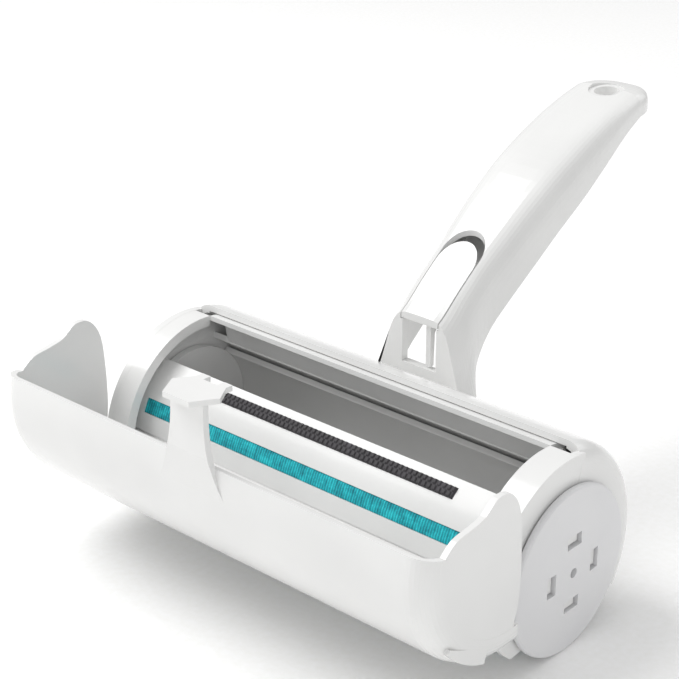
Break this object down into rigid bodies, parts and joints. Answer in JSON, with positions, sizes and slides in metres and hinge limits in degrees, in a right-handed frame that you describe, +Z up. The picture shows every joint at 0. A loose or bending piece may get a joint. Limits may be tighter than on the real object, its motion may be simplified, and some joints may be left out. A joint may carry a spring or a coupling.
{
  "type": "pet hair lint roller",
  "caption": "Pet-hair lint roller with a rocking fabric-strip drum, a hinged front lid standing open over the hair chamber, and a hollow curved handle with a hanging hole.",
  "frame": {"origin": "centre of the box's underside, on the surface the roller stands on, with the lid open", "axes": "+X along the drum, +Y from the open lid towards the end of the handle, +Z up"},
  "size_m": [0.1968, 0.2531, 0.1463],
  "materials": {
    "white_abs": "glossy moulded white ABS",
    "teal_nap": "short slanted nylon nap on a woven backing",
    "dark_rubber": "matt dark grey moulded rubber",
    "pin_steel": "bright drawn steel"
  },
  "bodies": {
    "base": {"main_shell": "white_abs", "handle": "white_abs", "end_cap_left": "white_abs", "end_cap_right": "white_abs", "front_sill": "white_abs", "rear_guard": "white_abs", "stripper_front": "teal_nap", "stripper_rear": "teal_nap", "chamber_blade": "dark_rubber", "handle_insert": "white_abs", "hinge_pin_left": "pin_steel", "hinge_pin_right": "pin_steel", "bush_left": "white_abs", "bush_right": "white_abs"},
    "lid": {"lid": "white_abs"},
    "button": {"release_button": "white_abs", "button_spring": "pin_steel"},
    "drum": {"drum_shell": "white_abs", "drum_end_left": "white_abs", "drum_end_right": "white_abs", "end_disc_left": "white_abs", "end_disc_right": "white_abs", "drum_strip_front": "teal_nap", "drum_strip_rear": "teal_nap", "rubber_blade_left": "dark_rubber", "rubber_blade_right": "dark_rubber"}
  },
  "joints": [
    {"name": "lid_hinge", "type": "hinge", "parent": "base", "child": "lid", "pos_m": [0, -0.07457, 0.02663], "axis": [1, 0, 0], "range_deg": [-88, 4]},
    {"name": "drum_rock", "type": "hinge", "parent": "base", "child": "drum", "pos_m": [0, -0.03843, 0.031], "axis": [1, 0, 0], "range_deg": [-20, 20]},
    {"name": "button_slide", "type": "slide", "parent": "base", "child": "button", "axis": [0, 0.8192, 0.5736], "range_m": [0, 0.003], "stiffness_N_per_m": 300, "springref_m": -0.001, "deforming": ["button_spring"]}
  ]
}
